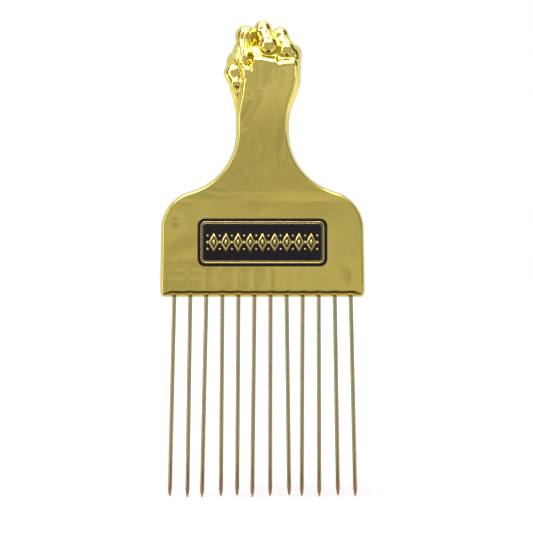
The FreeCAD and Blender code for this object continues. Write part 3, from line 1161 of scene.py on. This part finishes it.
def stage_panel(name, corners, sides):
    """A flat piece of the stage, and the node tree of its material."""
    mesh = bpy.data.meshes.new(name)
    mesh.from_pydata(corners, [], sides)
    panel = bpy.data.objects.new(name, mesh)
    scene.collection.objects.link(panel)
    finish = Finish(name, (0.45, 0.45, 0.45), 0, 0.9)
    mesh.materials.append(finish.material)
    return panel, finish


def seen_only_mirrored(panel, finish, colour):
    """Makes a panel a glowing card, of one colour or a source's, that only a reflection shows."""
    glow = finish.node("ShaderNodeEmission", colour)
    finish.link(glow.outputs[0], finish.tree.nodes["Material Output"].inputs["Surface"])
    panel.visible_camera = panel.visible_diffuse = panel.visible_shadow = False


def pale_floor():
    """A wide white floor just under the points. It shows the soft shadow, and glows a little more
    with the distance, where less of the lamps' light reaches it."""
    reach, low = 12, -0.00005
    near_glow, far_glow, glow_change = 0.5, 0.9, (0.1, 0.9)
    corners = [(x * reach, y * reach, low) for x, y in ((-1, -1), (1, -1), (1, 1), (-1, 1))]
    finish = stage_panel("floor", corners, [(0, 1, 2, 3)])[1]
    path = finish.node("ShaderNodeLightPath").outputs
    seen = finish.count("MAXIMUM", path["Is Camera Ray"], path["Is Glossy Ray"])
    seen = finish.count("MAXIMUM", seen, path["Is Transmission Ray"])
    far = finish.node("ShaderNodeVectorMath", finish.place(), operation="LENGTH")
    level = finish.ranged(far.outputs["Value"], near_glow, far_glow, *glow_change)
    finish.use("Emission Color", (1, 1, 1, 1))
    finish.use("Emission Strength", finish.count("MULTIPLY", seen, level))


def front_sweep():
    """Grey paper in front of the object, along the floor and round a quarter circle up, that only
    its reflections show. It has faint clouds and the paper's levels."""
    near, far, wide, high, bend, low, rows = 0.135, 1.1, 1.4, 0.45, 0.4, 0.001, 24
    cloud_levels, cloud_change = (0.5, 0.68), (0.35, 0.65)
    turns = np.linspace(0, math.pi / 2, rows)
    rounded = zip(far - bend + bend * np.sin(turns), low + bend - bend * np.cos(turns))
    line = [(near, low), *rounded, (far, high)]
    corners = [(side * wide, -depth, rise) for depth, rise in line for side in (-1, 1)]
    sides = [(i, i + 1, i + 3, i + 2) for i in range(0, len(corners) - 2, 2)]
    panel, finish = stage_panel("front_sweep", corners, sides)
    clouds = finish.ranged(finish.noise(12.5, 4), *cloud_levels, *cloud_change)
    place = finish.parts(finish.place())
    ahead = finish.count("ADD", place["Y"], paper_distance_start)
    ahead = finish.count("MULTIPLY", ahead, -paper_distance_share)
    levels = finish.ramp(finish.count("ADD", place["Z"], ahead), paper_levels)
    seen_only_mirrored(panel, finish, finish.count("MULTIPLY", clouds, levels))


def foot_card():
    """A narrow card on the floor that only the rounded foot of the plate mirrors: rosy under the
    tines, which comes out brown in the gold, and dark in front of them."""
    near, far, wide, low = -0.015, 0.135, 0.055, 0.001
    dark, rosy, change = (0.08, 0.075, 0.05), (0.68, 0.47, 0.55), (-0.036, -0.026)
    corners = [(-wide, -near, low), (wide, -near, low), (wide, -far, low), (-wide, -far, low)]
    panel, finish = stage_panel("foot_card", corners, [(0, 3, 2, 1)])
    share = finish.ranged(finish.parts(finish.place())["Y"], 0, 1, *change)
    seen_only_mirrored(panel, finish, finish.mixed(share, dark, rosy))


def lamp(name, place, width, height, radiance):
    """A soft light panel, turned to the object, whose face has a given radiance: its power is that
    times pi times its area."""
    target = Vector((0, 0, 0.1))
    data = bpy.data.lights.new(name, "AREA")
    data.shape = "RECTANGLE"
    data.size, data.size_y = width, height
    data.energy = radiance * math.pi * width * height
    thing = bpy.data.objects.new(name, data)
    thing.location = place
    thing.rotation_euler = (target - Vector(place)).to_track_quat("-Z", "Y").to_euler()
    scene.collection.objects.link(thing)


studio_room()
pale_floor()
front_sweep()
foot_card()
lamp("top_panel", (-0.15, -0.45, 0.95), width=1.1, height=0.55, radiance=5.5)
lamp("left_panel", (-0.95, -0.5, 0.3), width=0.2, height=0.8, radiance=3.6)
lamp("right_panel", (0.95, -0.4, 0.3), width=0.2, height=0.8, radiance=0.5)

camera_data = bpy.data.cameras.new("camera")
camera_data.sensor_width = 36
camera_data.lens = 175.6
camera = bpy.data.objects.new("camera", camera_data)
camera.location = (0.0014, -0.9, 0.0799)
camera.rotation_euler = (math.pi / 2, 0, 0)
scene.collection.objects.link(camera)
scene.camera = camera
